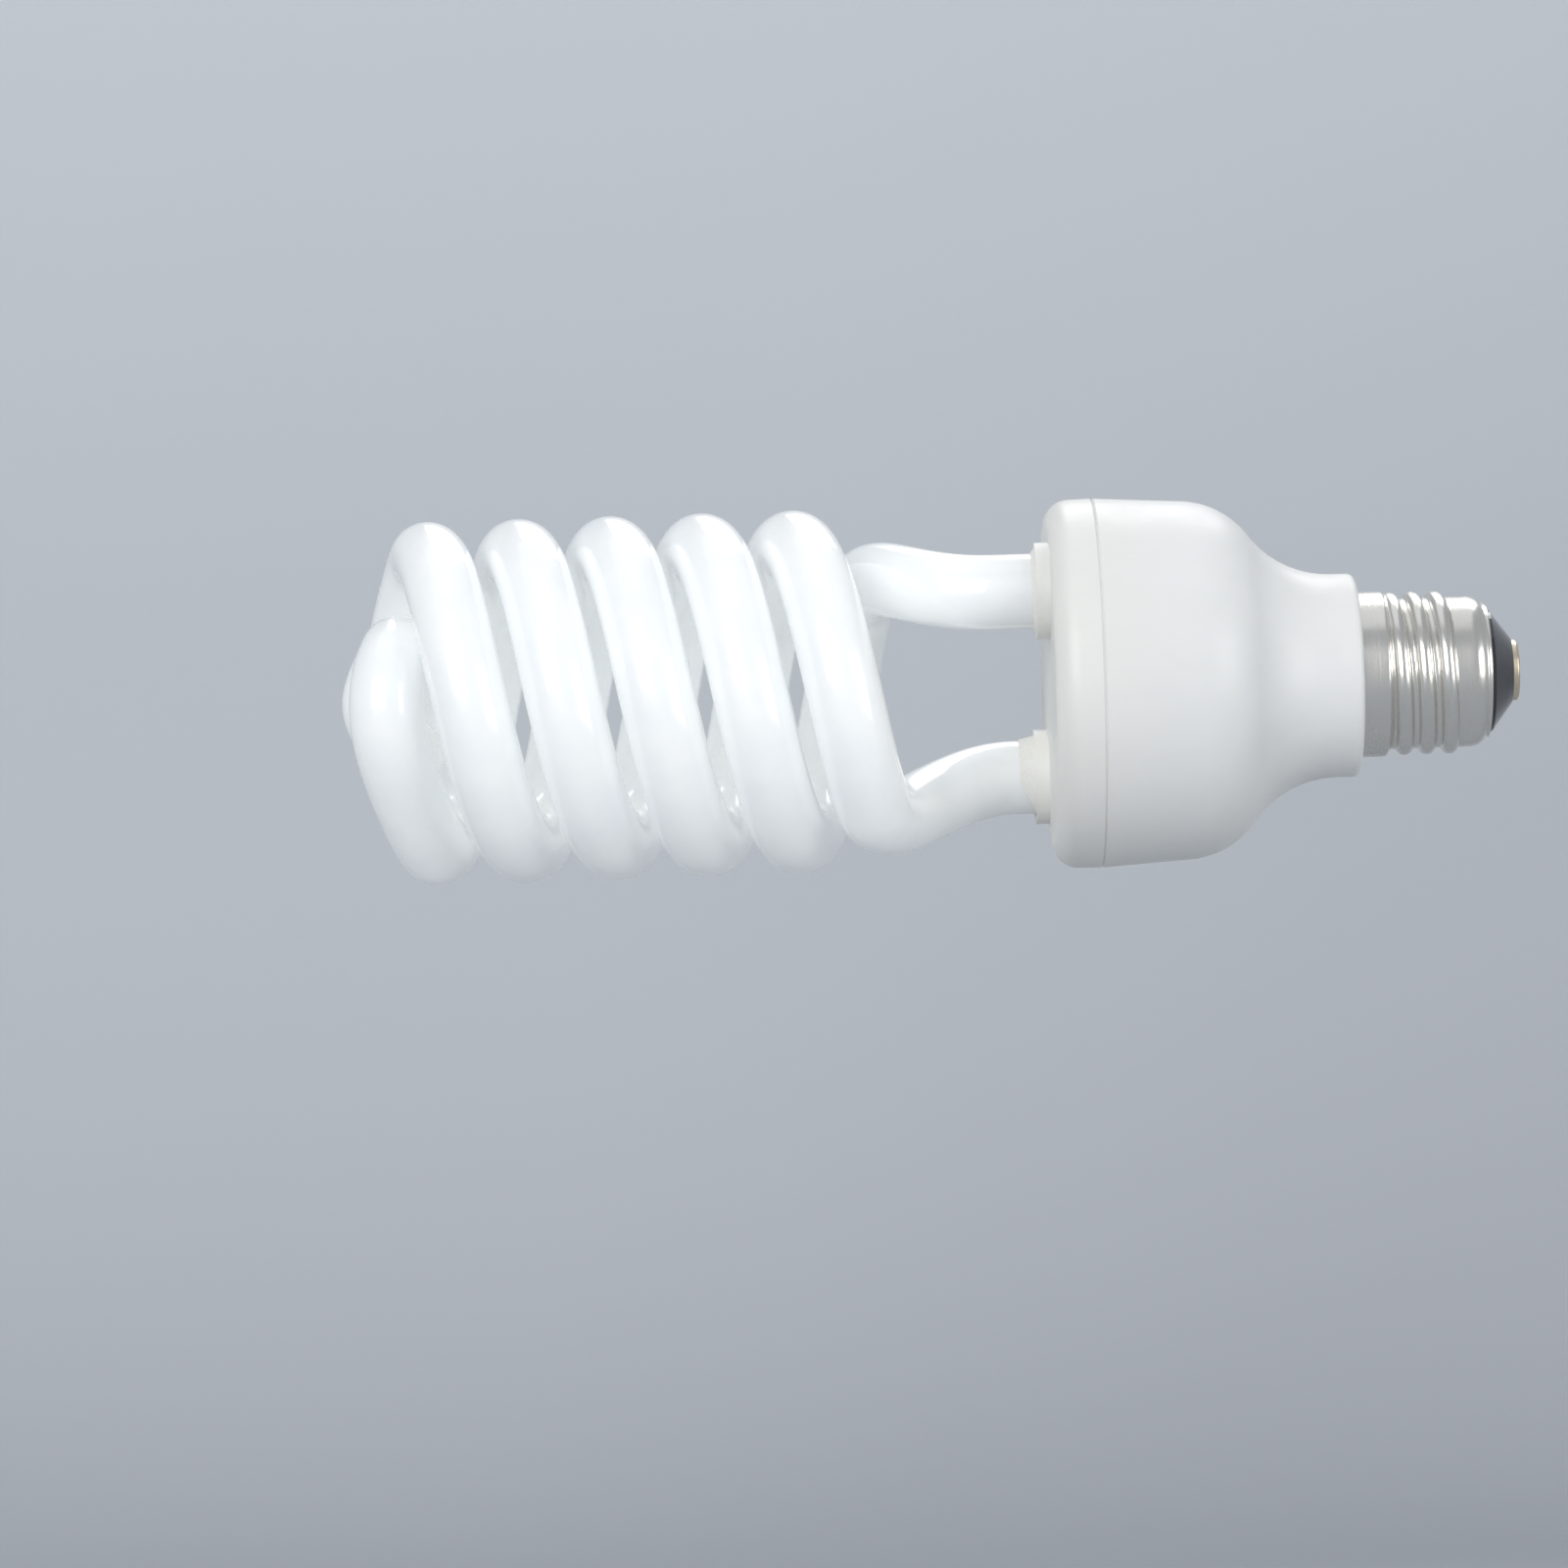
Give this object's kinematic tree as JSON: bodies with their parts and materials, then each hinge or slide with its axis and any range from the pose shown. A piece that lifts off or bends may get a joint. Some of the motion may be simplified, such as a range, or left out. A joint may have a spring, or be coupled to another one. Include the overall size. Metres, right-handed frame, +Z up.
{
  "type": "spiral compact fluorescent bulb",
  "caption": "High-power spiral compact fluorescent bulb: a double helix of coated glass tube on a flared ballast housing with an E27 screw cap.",
  "frame": {"origin": "centre of the end contact's flat face, on the lamp's axis", "axes": "the lamp lies along X with its cap toward +X and the tube's tip toward -X, +Z is up in the pictured pose, and +Y points away from the viewer"},
  "size_m": [0.1897, 0.0596, 0.0596],
  "materials": {
    "coated_glass": "gloss, phosphor-coated inside, lit",
    "housing_plastic": "fine satin",
    "cement": "grainy",
    "plated_cap": "satin nickel",
    "cap_glass": "gloss black",
    "contact_metal": "satin, tinned middle",
    "board_laminate": "satin",
    "capacitor_sleeve": "gloss",
    "ferrite": "matte",
    "bobbin_plastic": "satin",
    "copper": "enamelled wire",
    "component_black": "satin",
    "film_dip": "dipped gloss",
    "resistor_coat": "satin",
    "tinned_wire": "bright tin",
    "wire_sleeve": "satin"
  },
  "bodies": {
    "root": {"discharge_tube": "coated_glass", "cover": "housing_plastic", "upper_leg_cement": "cement", "lower_leg_cement": "cement", "ballast_housing": "housing_plastic", "screw_shell": "plated_cap", "insulator": "cap_glass", "end_contact": "contact_metal", "circuit_board": "board_laminate", "smoothing_capacitor": "capacitor_sleeve", "choke_core": "ferrite", "choke_bobbin": "bobbin_plastic", "choke_winding": "copper", "driver_toroid": "ferrite", "toroid_windings": "copper", "switching_transistors": "component_black", "film_capacitors": "film_dip", "resonant_capacitor": "film_dip", "rectifier_diodes": "component_black", "fusible_resistor": "resistor_coat", "thermistor": "resistor_coat", "filter_inductor": "component_black", "wrap_pins": "tinned_wire", "filament_leads": "tinned_wire", "live_wire": "wire_sleeve", "neutral_wire": "wire_sleeve"}
  },
  "joints": []
}
